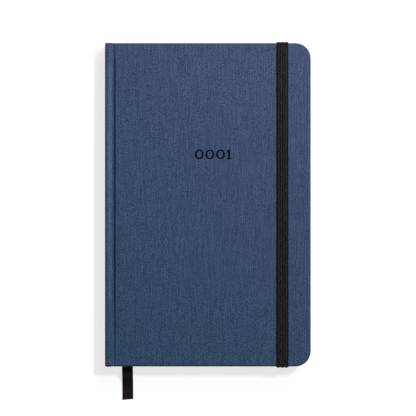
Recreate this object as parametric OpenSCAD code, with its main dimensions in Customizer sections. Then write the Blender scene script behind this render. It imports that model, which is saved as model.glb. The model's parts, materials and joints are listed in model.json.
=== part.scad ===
// Hardcover logbook: linen case, sewn block, ribbon marker and elastic closure.
// The closed book lies on its back cover. +X is the fore edge, +Y the head, +Z up through the front cover.

/* [Cover] */
// Width of the closed case, spine to fore edge
case_w = 133.35; // [120:0.05:160]
// Height of the case, tail to head
case_h = 209.55; // [180:0.05:240]
// Thickness of the cover boards
board_t = 2.3; // [1.8:0.1:3]
// Thickness of the linen
cloth_t = 0.35; // [0.3:0.05:0.5]
// Radius of the cover's corners at the fore edge
corner_r = 10; // [4:0.5:14]
// Width of the linen turned over inside the cover
turn_in = 15; // [10:1:20]
// Distance from the spine's outer face to the linen edge of a cover board
joint_w = 7.775; // [7.5:0.025:9]

/* [Spine] */
// Thickness of the spine board
spine_board_t = 2; // [1.5:0.1:2.2]
// Outer rounding of the spine's long edges
spine_r = 1.3; // [0.8:0.1:1.4]

/* [Book block] */
// Width of a leaf
leaf_w = 126.8; // [115:0.05:127]
// Overhang of the cover past the leaves
square_w = 3.175; // [2:0.025:4]
// Radius of the leaves' fore-edge corners
leaf_corner_r = 6.35; // [0.5:0.05:8]
// Thickness of one sheet of paper
sheet_t = 0.105; // [0.08:0.005:0.12]
// Thickness of the endpapers
endpaper_t = 0.12; // [0.1:0.01:0.15]
// Thickness of the ribbon marker
ribbon_t = 0.2; // [0.15:0.05:0.3]
// Width of the ribbon marker
ribbon_w = 7.1; // [4:0.1:8]
// Length of ribbon that shows past the tail of the case
ribbon_out = 22.4; // [20:0.1:30]

/* [Elastic] */
// Width of the elastic strap
elastic_w = 7.9; // [5:0.1:10]
// Thickness of the elastic strap
elastic_t = 0.85; // [0.6:0.05:0.9]
// Distance of the strap's centre line from the middle of the case
elastic_x = 48.3; // [30:0.1:50]

/* [Mark] */
// Height of the stamped numerals
numeral_h = 6.2; // [4:0.1:10]
// Width of the whole stamped number
numeral_row_w = 23.8; // [18:0.1:30]
// Middle of the number, to the right of the middle of the case
mark_x = 3.4; // [-20:0.1:20]
// Middle of the number, towards the head
mark_y = 32.6; // [0:0.1:60]

/* [Hidden] */
$fn = 96;
eps = 0.5;

linen = [0.235, 0.305, 0.41];
linen_deep = [0.16, 0.23, 0.32];
ink = [0.09, 0.1, 0.13];
paper = [0.94, 0.92, 0.86];
card = [0.52, 0.5, 0.46];
black = [0.11, 0.1, 0.11];
gauze = [0.85, 0.84, 0.8];

// Block: twelve sections of eight leaves, with the ribbon between the sixth and the seventh
signature_count = 12;
leaves_each = 8;
signature_t = leaves_each * sheet_t;
ribbon_slack = 0.1;
ribbon_gap = ribbon_t + ribbon_slack;
leaf_gap = 0.08;
cover_t = board_t + 2 * cloth_t + endpaper_t;
flyleaf_z = cover_t + leaf_gap;
block_z = flyleaf_z + endpaper_t + leaf_gap;
block_t = signature_count * signature_t + ribbon_gap;
case_t = 2 * block_z + block_t;
ribbon_z = case_t / 2;

fore_x = case_w / 2;
back_x = -fore_x;
head_y = case_h / 2;
leaf_fore_x = fore_x - square_w;
fold_x = leaf_fore_x - leaf_w;
leaf_head_y = head_y - square_w;
board_edge_x = back_x + joint_w;
window_x = fore_x - turn_in;
window_y = head_y - turn_in;

// Hinge axes: the leaves turn where the endpaper is glued down, just past the shoulder of the block
shoulder_glue_w = 4;
flyleaf_x = fold_x + shoulder_glue_w;
hinge_clear = 0.3;
crease_clear = 0.1;

// Spine layers, from the outer face inwards, and from the folds outwards
spine_board_x = back_x + cloth_t;
spine_inner_x = spine_board_x + spine_board_t;
thread_t = 0.2;
layer_t = 0.15;
mull_x = fold_x - thread_t - layer_t;
lining_x = mull_x - layer_t;
seam_gap = 0.125;
ridge_x = spine_inner_x + seam_gap;

// Elastic: its lower stretch lies in a pressed channel on the back cover and enters a slot
channel_d = elastic_t + 0.15;
channel_clear = 0.2;
slot_in = 6.8;
slot_y = head_y - slot_in;
slot_w = elastic_t + 0.25;
pocket_l = 20;
pocket_y = slot_y - pocket_l;
pocket_end_gap = 1;
pocket_t = 0.55;
strap_gap = 0.05;
leg_y = head_y + strap_gap;

// Joints: the ridge beside the spine falls a little, then the linen drops into the groove.
// groove_z is how far the groove's inner side is from the cover's outer face
ridge_w = 4.1;
groove_x = back_x + ridge_w;
pastedown_gap = 0.02;
groove_z = cover_t - pastedown_gap;
groove_run = 1.5;
ridge_fall = 0.45;
joint_lip_x = 0.4;
joint_lip_z = 0.3;

// Flat outlines
module rounded_side(x0, x1, y, r) {
    flat_x = x1 - r;
    union() {
        translate([x0, -y]) square([flat_x - x0, 2 * y]);
        translate([x0, -(y - r)]) square([x1 - x0, 2 * (y - r)]);
        for (s = [-1, 1]) translate([flat_x, s * (y - r)]) circle(r);
    }
}

module case_slab(inset, z0, z1) {
    translate([0, 0, z0]) linear_extrude(z1 - z0)
        rounded_side(board_edge_x + inset, fore_x - inset, head_y - inset, corner_r - inset);
}

module leaf_slab(x0, z0, z1) {
    translate([0, 0, z0]) linear_extrude(z1 - z0)
        rounded_side(x0, leaf_fore_x, leaf_head_y, leaf_corner_r);
}

module window_slab(grow, z0, z1) {
    translate([board_edge_x - eps, -(window_y + grow), z0])
        cube([window_x + grow - board_edge_x + eps, 2 * (window_y + grow), z1 - z0]);
}

module flip() {
    translate([0, 0, case_t]) mirror([0, 0, 1]) children();
}

// A cover lying with its outer face at z = 0
module cover_cloth() {
    difference() {
        case_slab(0, 0, board_t + 2 * cloth_t);
        case_slab(cloth_t, cloth_t, cloth_t + board_t);
        window_slab(0, cloth_t + board_t, board_t + 3 * cloth_t);
    }
}

module cover_board() {
    case_slab(cloth_t, cloth_t, cloth_t + board_t);
}

module cover_pastedown() {
    inner_z = board_t + cloth_t;
    difference() {
        leaf_slab(board_edge_x + cloth_t, inner_z, cover_t);
        difference() {
            translate([-case_w, -case_h, inner_z]) cube([2 * case_w, 2 * case_h, cloth_t]);
            window_slab(0, 0, cover_t);
        }
        window_slab(-endpaper_t, inner_z + endpaper_t, cover_t + eps);
    }
}

// Stamped number
stroke = numeral_h * 0.22;
hairline = numeral_h * 0.14;
zero_w = numeral_h * 0.93;
one_w = numeral_h * 0.5;
flag_y = numeral_h * 0.78;
numeral_pitch = (numeral_row_w - one_w) / 3;

module stadium(w, h) {
    r = w / 2;
    union() {
        translate([0, r]) square([w, h - w]);
        for (y = [r, h - r]) translate([r, y]) circle(r);
    }
}

module zero() {
    difference() {
        stadium(zero_w, numeral_h);
        translate([stroke, hairline]) stadium(zero_w - 2 * stroke, numeral_h - 2 * hairline);
    }
}

module one() {
    stem_x = (one_w - stroke) / 2;
    union() {
        translate([stem_x, 0]) square([stroke, numeral_h]);
        square([one_w, hairline]);
        polygon([
            [stem_x, numeral_h], [0, flag_y], [0, flag_y - hairline], [stem_x + stroke, numeral_h - stroke]
        ]);
    }
}

module stamped_number(z0, z1) {
    translate([mark_x - numeral_row_w / 2, mark_y - numeral_h / 2, z0]) linear_extrude(z1 - z0) {
        for (i = [0 : 2]) translate([i * numeral_pitch, 0]) zero();
        translate([3 * numeral_pitch, 0]) one();
    }
}

deboss = 0.14;
ink_t = 0.06;

// Front cover
module front_board() {
    color(card) flip() cover_board();
}

module front_cloth() {
    color(linen) difference() {
        flip() cover_cloth();
        stamped_number(case_t - deboss, case_t + eps);
    }
}

module cover_stamp() {
    color(ink) stamped_number(case_t - deboss, case_t - deboss + ink_t);
}

module front_pastedown() {
    color(paper) flip() cover_pastedown();
}

// Back cover
module strap_box(w, y0, y1, z0, z1) {
    translate([elastic_x - w / 2, y0, z0]) cube([w, y1 - y0, z1 - z0]);
}

// Room in the back cover for one end of the strap: outer channel, slot and inner pocket
module strap_room() {
    w = elastic_w + 2 * channel_clear;
    inner_z = board_t + cloth_t;
    strap_box(w, slot_y - channel_clear / 2, head_y + eps, -eps, channel_d);
    strap_box(w, slot_y - channel_clear / 2, slot_y + slot_w, -eps, inner_z);
    strap_box(w, pocket_y, slot_y + slot_w, inner_z - pocket_t - strap_gap, inner_z);
}

module both_ends() {
    children();
    mirror([0, 1, 0]) children();
}

module back_board() {
    color(card) difference() {
        cover_board();
        both_ends() strap_room();
    }
}

module back_cloth() {
    color(linen) difference() {
        cover_cloth();
        both_ends() strap_room();
    }
}

module back_pastedown() {
    color(paper) cover_pastedown();
}

module strap_anchor() {
    inner_z = board_t + cloth_t;
    color(black) union() {
        strap_box(elastic_w, slot_y, leg_y + elastic_t, strap_gap, strap_gap + elastic_t);
        strap_box(elastic_w, slot_y, slot_y + elastic_t, strap_gap, inner_z);
        strap_box(elastic_w, pocket_y + pocket_end_gap, slot_y + elastic_t, inner_z - pocket_t, inner_z);
    }
}

module elastic_anchor_head() {
    strap_anchor();
}

module elastic_anchor_tail() {
    mirror([0, 1, 0]) strap_anchor();
}

// The free stretch of the strap, over the front cover and down past the head and the tail
module elastic_band() {
    top_z = case_t + strap_gap;
    color(black) union() {
        strap_box(elastic_w, -(leg_y + elastic_t), leg_y + elastic_t, top_z, top_z + elastic_t);
        both_ends() strap_box(elastic_w, leg_y, leg_y + elastic_t, strap_gap + elastic_t, top_z);
    }
}

// Endpapers
module flyleaf() {
    color(paper) leaf_slab(flyleaf_x + hinge_clear, flyleaf_z, flyleaf_z + endpaper_t);
}

module endpaper_fold() {
    color(paper) translate([fold_x + hinge_clear, -leaf_head_y, block_z - endpaper_t])
        cube([shoulder_glue_w - hinge_clear - crease_clear, 2 * leaf_head_y, endpaper_t]);
}

module front_flyleaf() {
    flip() flyleaf();
}

module back_flyleaf() {
    flyleaf();
}

module front_endpaper_fold() {
    flip() endpaper_fold();
}

module back_endpaper_fold() {
    endpaper_fold();
}

// Spine of the case
module spine_outline(inset, x1) {
    r = spine_r - inset;
    x0 = back_x + inset;
    union() {
        translate([x0, inset + r]) square([x1 - x0, case_t - 2 * (inset + r)]);
        translate([x0 + r, inset]) square([x1 - x0 - r, case_t - 2 * inset]);
        for (z = [inset + r, case_t - inset - r]) translate([x0 + r, z]) circle(r);
    }
}

module spine_prism(inset, x1, y) {
    rotate([90, 0, 0]) linear_extrude(2 * y, center = true) spine_outline(inset, x1);
}

module spine_board() {
    color(card) spine_prism(cloth_t, spine_inner_x, head_y - cloth_t);
}

module spine_cloth() {
    tuck_x = spine_inner_x + cloth_t;
    tuck_z = cloth_t + 1;
    color(linen) difference() {
        union() {
            spine_prism(0, ridge_x, head_y);
            translate([spine_board_x + spine_r, -head_y, tuck_z])
                cube([tuck_x - spine_board_x - spine_r, 2 * head_y, case_t - 2 * tuck_z]);
        }
        spine_prism(cloth_t, spine_inner_x, head_y - cloth_t);
        translate([spine_inner_x, -window_y, cloth_t])
            cube([2 * cloth_t, 2 * window_y, case_t - 2 * cloth_t]);
    }
}

// Linen of a joint: over the ridge beside the spine, down into the groove and along it to the board
function ease(t) = t * t * (3 - 2 * t);
joint_steps = 10;
joint_outer = concat(
    [[ridge_x, 0]],
    [for (i = [0 : joint_steps]) let (t = i / joint_steps)
        [groove_x + t * groove_run, ridge_fall + ease(t) * (groove_z - cloth_t - ridge_fall)]],
    [[board_edge_x - joint_lip_x, groove_z - cloth_t], [board_edge_x, groove_z - cloth_t - joint_lip_z]]
);
joint_last = len(joint_outer) - 1;
joint_inner = [
    for (i = [joint_last : -1 : 0])
        let (run = joint_outer[min(i + 1, joint_last)] - joint_outer[max(i - 1, 0)])
        let (p = joint_outer[i] + cloth_t * [-run[1], run[0]] / norm(run))
        [max(ridge_x, min(board_edge_x, p[0])), p[1]]
];

module joint_cloth() {
    color(linen_deep) rotate([90, 0, 0]) linear_extrude(2 * (head_y - cloth_t), center = true)
        polygon(concat(joint_outer, joint_inner));
}

module front_joint_cloth() {
    flip() joint_cloth();
}

module back_joint_cloth() {
    joint_cloth();
}

// Sewing: three stitches inside each fold, linked across the sections at six stations
stitch_pairs = [[-80, -50], [-15, 15], [50, 80]];
stitch_x = fold_x + signature_t / 2;
thread_w = 0.25;

function signature_z(i) = block_z + i * signature_t + (i < signature_count / 2 ? 0 : ribbon_gap);

module stitches(i) {
    z = signature_z(i) + (signature_t - thread_w) / 2;
    for (pair = stitch_pairs) {
        translate([stitch_x, pair[0], z]) cube([thread_w, pair[1] - pair[0] + thread_w, thread_w]);
        for (y = pair) translate([fold_x - thread_t, y, z])
            cube([stitch_x + thread_w - fold_x + thread_t, thread_w, thread_w]);
    }
}

module stitch_links() {
    z0 = signature_z(0) + signature_t / 2;
    z1 = signature_z(signature_count - 1) + signature_t / 2;
    for (pair = stitch_pairs, y = pair) translate([fold_x - thread_t, y, z0])
        cube([thread_t, thread_w, z1 - z0]);
}

module signature(i) {
    r = signature_t / 2;
    z = signature_z(i);
    color(paper) difference() {
        union() {
            leaf_slab(fold_x + r, z, z + signature_t);
            translate([fold_x + r, 0, z + r]) rotate([90, 0, 0])
                cylinder(r = r, h = 2 * leaf_head_y, center = true);
        }
        stitches(i);
    }
}

module sewing_thread() {
    color("white") union() {
        for (i = [0 : signature_count - 1]) stitches(i);
        stitch_links();
    }
}

// Spine of the block
band_y = 8;
lining_in = 1;
module spine_strip(x, t, y) {
    translate([x, -y, block_z]) cube([t, 2 * y, block_t]);
}

module spine_mull() {
    color(gauze) spine_strip(mull_x, layer_t, leaf_head_y - band_y - lining_in);
}

module spine_lining() {
    color(card) spine_strip(lining_x, layer_t, leaf_head_y - lining_in);
}

module end_band() {
    bead_r = 0.85;
    color("white") union() {
        translate([mull_x, leaf_head_y - band_y, block_z]) cube([layer_t, band_y + bead_r, block_t]);
        translate([mull_x + bead_r, leaf_head_y + bead_r, block_z]) cylinder(r = bead_r, h = block_t);
    }
}

module head_band() {
    end_band();
}

module tail_band() {
    mirror([0, 1, 0]) end_band();
}

// Ribbon: flat between the middle sections, then down over the tail onto the table
ribbon_x = -52.3;
ribbon_shift = -6;
ribbon_past_head = 0.6;
ribbon_steps = 12;
drop_r = 14;
drop_h = ribbon_z - ribbon_t / 2;
drop_run = 2 * sqrt(drop_r * drop_h - drop_h * drop_h / 4);
drop_angle = acos(1 - drop_h / (2 * drop_r));

function ribbon_centre(y) = ribbon_x + ribbon_shift * ease(max(0, min(1, y / leaf_head_y)));

module ribbon_run() {
    y0 = -leaf_head_y;
    y1 = leaf_head_y + ribbon_past_head;
    rows = [for (i = [0 : ribbon_steps]) y0 + (y1 - y0) * i / ribbon_steps];
    right = [for (y = rows) [ribbon_centre(y) + ribbon_w / 2, y]];
    left = [for (i = [ribbon_steps : -1 : 0]) [ribbon_centre(rows[i]) - ribbon_w / 2, rows[i]]];
    translate([0, 0, ribbon_z - ribbon_t / 2]) linear_extrude(ribbon_t) polygon(concat(right, left));
}

module ribbon_tail() {
    // centre line in the plane of y and z: bend down, bend level, then flat on the table
    bend = [for (i = [0 : ribbon_steps]) let (a = drop_angle * i / ribbon_steps)
        [-leaf_head_y - drop_r * sin(a), ribbon_z - drop_r * (1 - cos(a)), a]];
    level = [for (i = [ribbon_steps - 1 : -1 : 0]) let (a = drop_angle * i / ribbon_steps)
        [-leaf_head_y - drop_run + drop_r * sin(a), ribbon_t / 2 + drop_r * (1 - cos(a)), a]];
    line = concat(bend, level, [[-head_y - ribbon_out, ribbon_t / 2, 0]]);
    upper = [for (p = line) [p[0] - ribbon_t / 2 * sin(p[2]), p[1] + ribbon_t / 2 * cos(p[2])]];
    lower = [for (i = [len(line) - 1 : -1 : 0]) let (p = line[i])
        [p[0] + ribbon_t / 2 * sin(p[2]), p[1] - ribbon_t / 2 * cos(p[2])]];
    translate([ribbon_x - ribbon_w / 2, 0, 0]) rotate([90, 0, 90]) linear_extrude(ribbon_w)
        polygon(concat(upper, lower));
}

module ribbon_marker() {
    color(black) union() {
        ribbon_run();
        ribbon_tail();
    }
}

front_board();
front_cloth();
cover_stamp();
front_pastedown();
back_board();
back_cloth();
back_pastedown();
elastic_anchor_head();
elastic_anchor_tail();
elastic_band();
front_flyleaf();
back_flyleaf();
spine_board();
spine_cloth();
front_joint_cloth();
back_joint_cloth();
front_endpaper_fold();
back_endpaper_fold();
signature(0);  // signature_01
signature(1);  // signature_02
signature(2);  // signature_03
signature(3);  // signature_04
signature(4);  // signature_05
signature(5);  // signature_06
signature(6);  // signature_07
signature(7);  // signature_08
signature(8);  // signature_09
signature(9);  // signature_10
signature(10);  // signature_11
signature(11);  // signature_12
sewing_thread();
spine_mull();
spine_lining();
head_band();
tail_band();
ribbon_marker();
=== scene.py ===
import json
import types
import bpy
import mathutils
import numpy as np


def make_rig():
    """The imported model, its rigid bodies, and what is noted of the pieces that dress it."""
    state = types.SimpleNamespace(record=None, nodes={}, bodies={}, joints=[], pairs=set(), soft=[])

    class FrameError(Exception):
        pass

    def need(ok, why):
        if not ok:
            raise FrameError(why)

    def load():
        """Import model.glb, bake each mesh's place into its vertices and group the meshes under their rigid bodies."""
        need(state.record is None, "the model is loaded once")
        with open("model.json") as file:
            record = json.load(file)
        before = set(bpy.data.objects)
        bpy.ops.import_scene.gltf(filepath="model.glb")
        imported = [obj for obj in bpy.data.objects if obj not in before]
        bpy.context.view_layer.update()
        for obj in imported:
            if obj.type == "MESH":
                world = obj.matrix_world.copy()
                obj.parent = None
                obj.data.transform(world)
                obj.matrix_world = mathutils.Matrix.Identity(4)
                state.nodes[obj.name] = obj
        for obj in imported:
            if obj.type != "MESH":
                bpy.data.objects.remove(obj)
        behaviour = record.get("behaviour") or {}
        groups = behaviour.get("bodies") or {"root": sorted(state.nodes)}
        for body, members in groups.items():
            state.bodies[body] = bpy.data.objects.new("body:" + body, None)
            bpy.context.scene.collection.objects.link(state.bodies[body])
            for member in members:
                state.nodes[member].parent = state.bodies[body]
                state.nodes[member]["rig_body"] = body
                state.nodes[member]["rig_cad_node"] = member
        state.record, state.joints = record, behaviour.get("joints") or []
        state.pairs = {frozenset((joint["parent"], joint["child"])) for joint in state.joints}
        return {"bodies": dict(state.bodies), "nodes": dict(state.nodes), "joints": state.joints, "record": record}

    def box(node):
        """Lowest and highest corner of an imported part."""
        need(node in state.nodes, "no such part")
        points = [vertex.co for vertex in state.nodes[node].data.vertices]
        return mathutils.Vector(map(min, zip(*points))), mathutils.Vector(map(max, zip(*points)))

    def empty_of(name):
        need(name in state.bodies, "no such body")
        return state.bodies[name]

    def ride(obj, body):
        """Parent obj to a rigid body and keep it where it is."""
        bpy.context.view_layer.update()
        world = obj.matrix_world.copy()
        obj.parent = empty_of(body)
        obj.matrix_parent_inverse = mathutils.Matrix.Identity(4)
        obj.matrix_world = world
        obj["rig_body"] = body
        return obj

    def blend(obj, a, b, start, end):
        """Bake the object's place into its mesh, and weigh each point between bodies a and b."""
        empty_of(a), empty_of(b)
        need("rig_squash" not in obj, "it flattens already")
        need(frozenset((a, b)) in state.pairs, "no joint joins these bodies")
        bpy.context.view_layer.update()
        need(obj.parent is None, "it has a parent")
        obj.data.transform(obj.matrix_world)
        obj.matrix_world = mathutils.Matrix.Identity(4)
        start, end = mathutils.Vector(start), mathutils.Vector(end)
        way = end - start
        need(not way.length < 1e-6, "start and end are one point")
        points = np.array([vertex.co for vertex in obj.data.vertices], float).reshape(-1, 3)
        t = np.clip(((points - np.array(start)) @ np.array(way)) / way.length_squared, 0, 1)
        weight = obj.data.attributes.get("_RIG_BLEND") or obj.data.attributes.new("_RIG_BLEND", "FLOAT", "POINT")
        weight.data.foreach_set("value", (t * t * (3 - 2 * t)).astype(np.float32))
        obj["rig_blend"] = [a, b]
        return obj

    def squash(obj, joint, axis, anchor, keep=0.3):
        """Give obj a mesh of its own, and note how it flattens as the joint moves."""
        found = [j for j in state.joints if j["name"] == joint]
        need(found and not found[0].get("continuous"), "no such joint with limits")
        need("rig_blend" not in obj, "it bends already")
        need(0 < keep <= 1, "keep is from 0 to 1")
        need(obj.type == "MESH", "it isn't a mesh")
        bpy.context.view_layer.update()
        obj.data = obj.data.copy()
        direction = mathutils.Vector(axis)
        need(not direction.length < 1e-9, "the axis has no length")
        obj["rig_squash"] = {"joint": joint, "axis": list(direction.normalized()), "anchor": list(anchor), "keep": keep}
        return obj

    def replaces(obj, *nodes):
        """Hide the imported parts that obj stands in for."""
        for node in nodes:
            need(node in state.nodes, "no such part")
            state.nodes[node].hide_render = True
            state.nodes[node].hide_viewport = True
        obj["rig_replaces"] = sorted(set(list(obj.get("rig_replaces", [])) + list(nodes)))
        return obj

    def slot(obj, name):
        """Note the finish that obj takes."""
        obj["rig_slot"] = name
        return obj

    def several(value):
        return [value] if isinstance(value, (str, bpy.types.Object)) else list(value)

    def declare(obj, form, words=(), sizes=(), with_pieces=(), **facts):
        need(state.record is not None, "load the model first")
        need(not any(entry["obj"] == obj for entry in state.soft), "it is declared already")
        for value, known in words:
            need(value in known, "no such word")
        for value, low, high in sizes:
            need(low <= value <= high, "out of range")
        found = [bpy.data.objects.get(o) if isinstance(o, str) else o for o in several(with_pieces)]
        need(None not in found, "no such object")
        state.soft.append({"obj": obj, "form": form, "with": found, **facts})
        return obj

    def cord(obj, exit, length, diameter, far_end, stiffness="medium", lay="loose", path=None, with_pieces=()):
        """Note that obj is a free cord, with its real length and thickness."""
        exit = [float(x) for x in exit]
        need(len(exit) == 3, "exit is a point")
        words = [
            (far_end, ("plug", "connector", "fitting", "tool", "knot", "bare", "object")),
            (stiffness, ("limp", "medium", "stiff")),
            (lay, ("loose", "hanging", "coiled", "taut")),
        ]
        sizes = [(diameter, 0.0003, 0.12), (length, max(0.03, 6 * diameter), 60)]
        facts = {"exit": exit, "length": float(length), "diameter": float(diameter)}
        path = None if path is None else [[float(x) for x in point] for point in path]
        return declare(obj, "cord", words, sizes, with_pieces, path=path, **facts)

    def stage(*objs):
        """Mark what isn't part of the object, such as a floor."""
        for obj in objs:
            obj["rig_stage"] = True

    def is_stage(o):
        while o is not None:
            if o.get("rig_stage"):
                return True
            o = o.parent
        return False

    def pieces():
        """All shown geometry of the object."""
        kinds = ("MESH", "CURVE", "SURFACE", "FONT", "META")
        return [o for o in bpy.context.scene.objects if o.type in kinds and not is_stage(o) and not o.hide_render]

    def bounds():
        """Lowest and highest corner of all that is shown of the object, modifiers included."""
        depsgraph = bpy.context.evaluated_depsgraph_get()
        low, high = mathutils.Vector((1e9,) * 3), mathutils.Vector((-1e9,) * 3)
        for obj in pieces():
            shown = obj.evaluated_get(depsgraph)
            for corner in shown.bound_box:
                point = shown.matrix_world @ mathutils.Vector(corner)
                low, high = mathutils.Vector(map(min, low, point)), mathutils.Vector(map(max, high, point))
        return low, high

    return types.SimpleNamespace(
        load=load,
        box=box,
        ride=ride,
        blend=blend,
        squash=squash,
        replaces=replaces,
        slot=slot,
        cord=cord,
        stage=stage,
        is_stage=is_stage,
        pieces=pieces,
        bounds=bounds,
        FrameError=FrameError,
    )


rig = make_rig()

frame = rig.load()
cad_bounds = [list(corner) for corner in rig.bounds()]

import json
import math
import random

import bmesh
import bpy
import numpy as np
from mathutils import Vector

# Everything is worked out in millimetres from the frame, and scaled to metres when a mesh is made.
MM = 0.001
random.seed(26)


def box_mm(node):
    low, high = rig.box(node)
    return np.array(low) / MM, np.array(high) / MM


CLOTH_LOW, CLOTH_HIGH = box_mm("front_cloth")
SPINE_LOW, SPINE_HIGH = box_mm("spine_cloth")
PAGE_LOW, PAGE_HIGH = box_mm("signature_01")
STRAP_LOW, STRAP_HIGH = box_mm("elastic_band")
JOINT_LOW, JOINT_HIGH = box_mm("front_joint_cloth")
PASTE_LOW, PASTE_HIGH = box_mm("front_pastedown")

TOP = CLOTH_HIGH[2]
FORE = CLOTH_HIGH[0]
HEAD = CLOTH_HIGH[1]
BACK = SPINE_LOW[0]
BOARD_EDGE = CLOTH_LOW[0]
COVER_T = TOP - CLOTH_LOW[2]
CORNER_R = 10.0
TURN_IN = 15.0
CLOTH_T = 0.28
SPINE_R = 1.75
EDGE_R = 0.9
STRAP_X = (STRAP_LOW[0] + STRAP_HIGH[0]) / 2
STRAP_W = STRAP_HIGH[0] - STRAP_LOW[0]
RIBS = 5


# ---------------------------------------------------------------- helpers

def ease(t):
    t = np.clip(t, 0, 1)
    return t * t * (3 - 2 * t)


def spread(low, high, step):
    """Evenly spaced values from low to high, about step apart."""
    return list(np.linspace(low, high, max(2, int(round((high - low) / step)) + 1)))


def merged(values, gap):
    """Sorted values with none closer than gap to the one before."""
    kept = []
    for v in sorted(values):
        if not kept or v - kept[-1] > gap:
            kept.append(float(v))
    return kept


def add_object(name, points, faces, uv=None, smooth=True):
    mesh = bpy.data.meshes.new(name)
    mesh.from_pydata([tuple(p) for p in np.asarray(points, float) * MM], [], [tuple(f) for f in faces])
    if uv is not None:
        layer = mesh.uv_layers.new(name="cloth_mm")
        index = np.zeros(len(mesh.loops), int)
        mesh.loops.foreach_get("vertex_index", index)
        layer.data.foreach_set("uv", np.asarray(uv, np.float32)[index].ravel())
    mesh.polygons.foreach_set("use_smooth", [smooth] * len(mesh.polygons))
    obj = bpy.data.objects.new(name, mesh)
    bpy.context.scene.collection.objects.link(obj)
    return obj


def tidy(obj, sharp=40):
    """Joins doubled points, drops faces with no area and sharpens the edges that bend by more than sharp degrees."""
    bm = bmesh.new()
    bm.from_mesh(obj.data)
    bmesh.ops.remove_doubles(bm, verts=bm.verts, dist=1e-6)
    bmesh.ops.dissolve_degenerate(bm, edges=bm.edges, dist=1e-6)
    for e in bm.edges:
        e.smooth = len(e.link_faces) == 2 and e.calc_face_angle(0) < math.radians(sharp)
    bm.to_mesh(obj.data)
    bm.free()
    return obj


def thicken(obj, thickness, sharp=40):
    """Gives an open sheet a thickness in mm, behind the side its normals face."""
    tidy(obj)
    mod = obj.modifiers.new("thickness", "SOLIDIFY")
    mod.thickness = thickness * MM
    mod.offset = -1
    baked = bpy.data.meshes.new_from_object(obj.evaluated_get(bpy.context.evaluated_depsgraph_get()))
    obj.modifiers.clear()
    old, obj.data = obj.data, baked
    bpy.data.meshes.remove(old)
    obj.data.name = obj.name
    return tidy(obj, sharp)


def place(obj, material, slot, body=None, stands_for=()):
    obj.data.materials.clear()
    obj.data.materials.append(material)
    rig.slot(obj, slot)
    if body:
        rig.ride(obj, body)
    if stands_for:
        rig.replaces(obj, *stands_for)
    return obj


# ---------------------------------------------------------------- materials

THREAD_PITCH = 0.5
CROWDING = 0.15
LINEN_DYE = (0.0298, 0.0632, 0.1325, 1)


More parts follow.
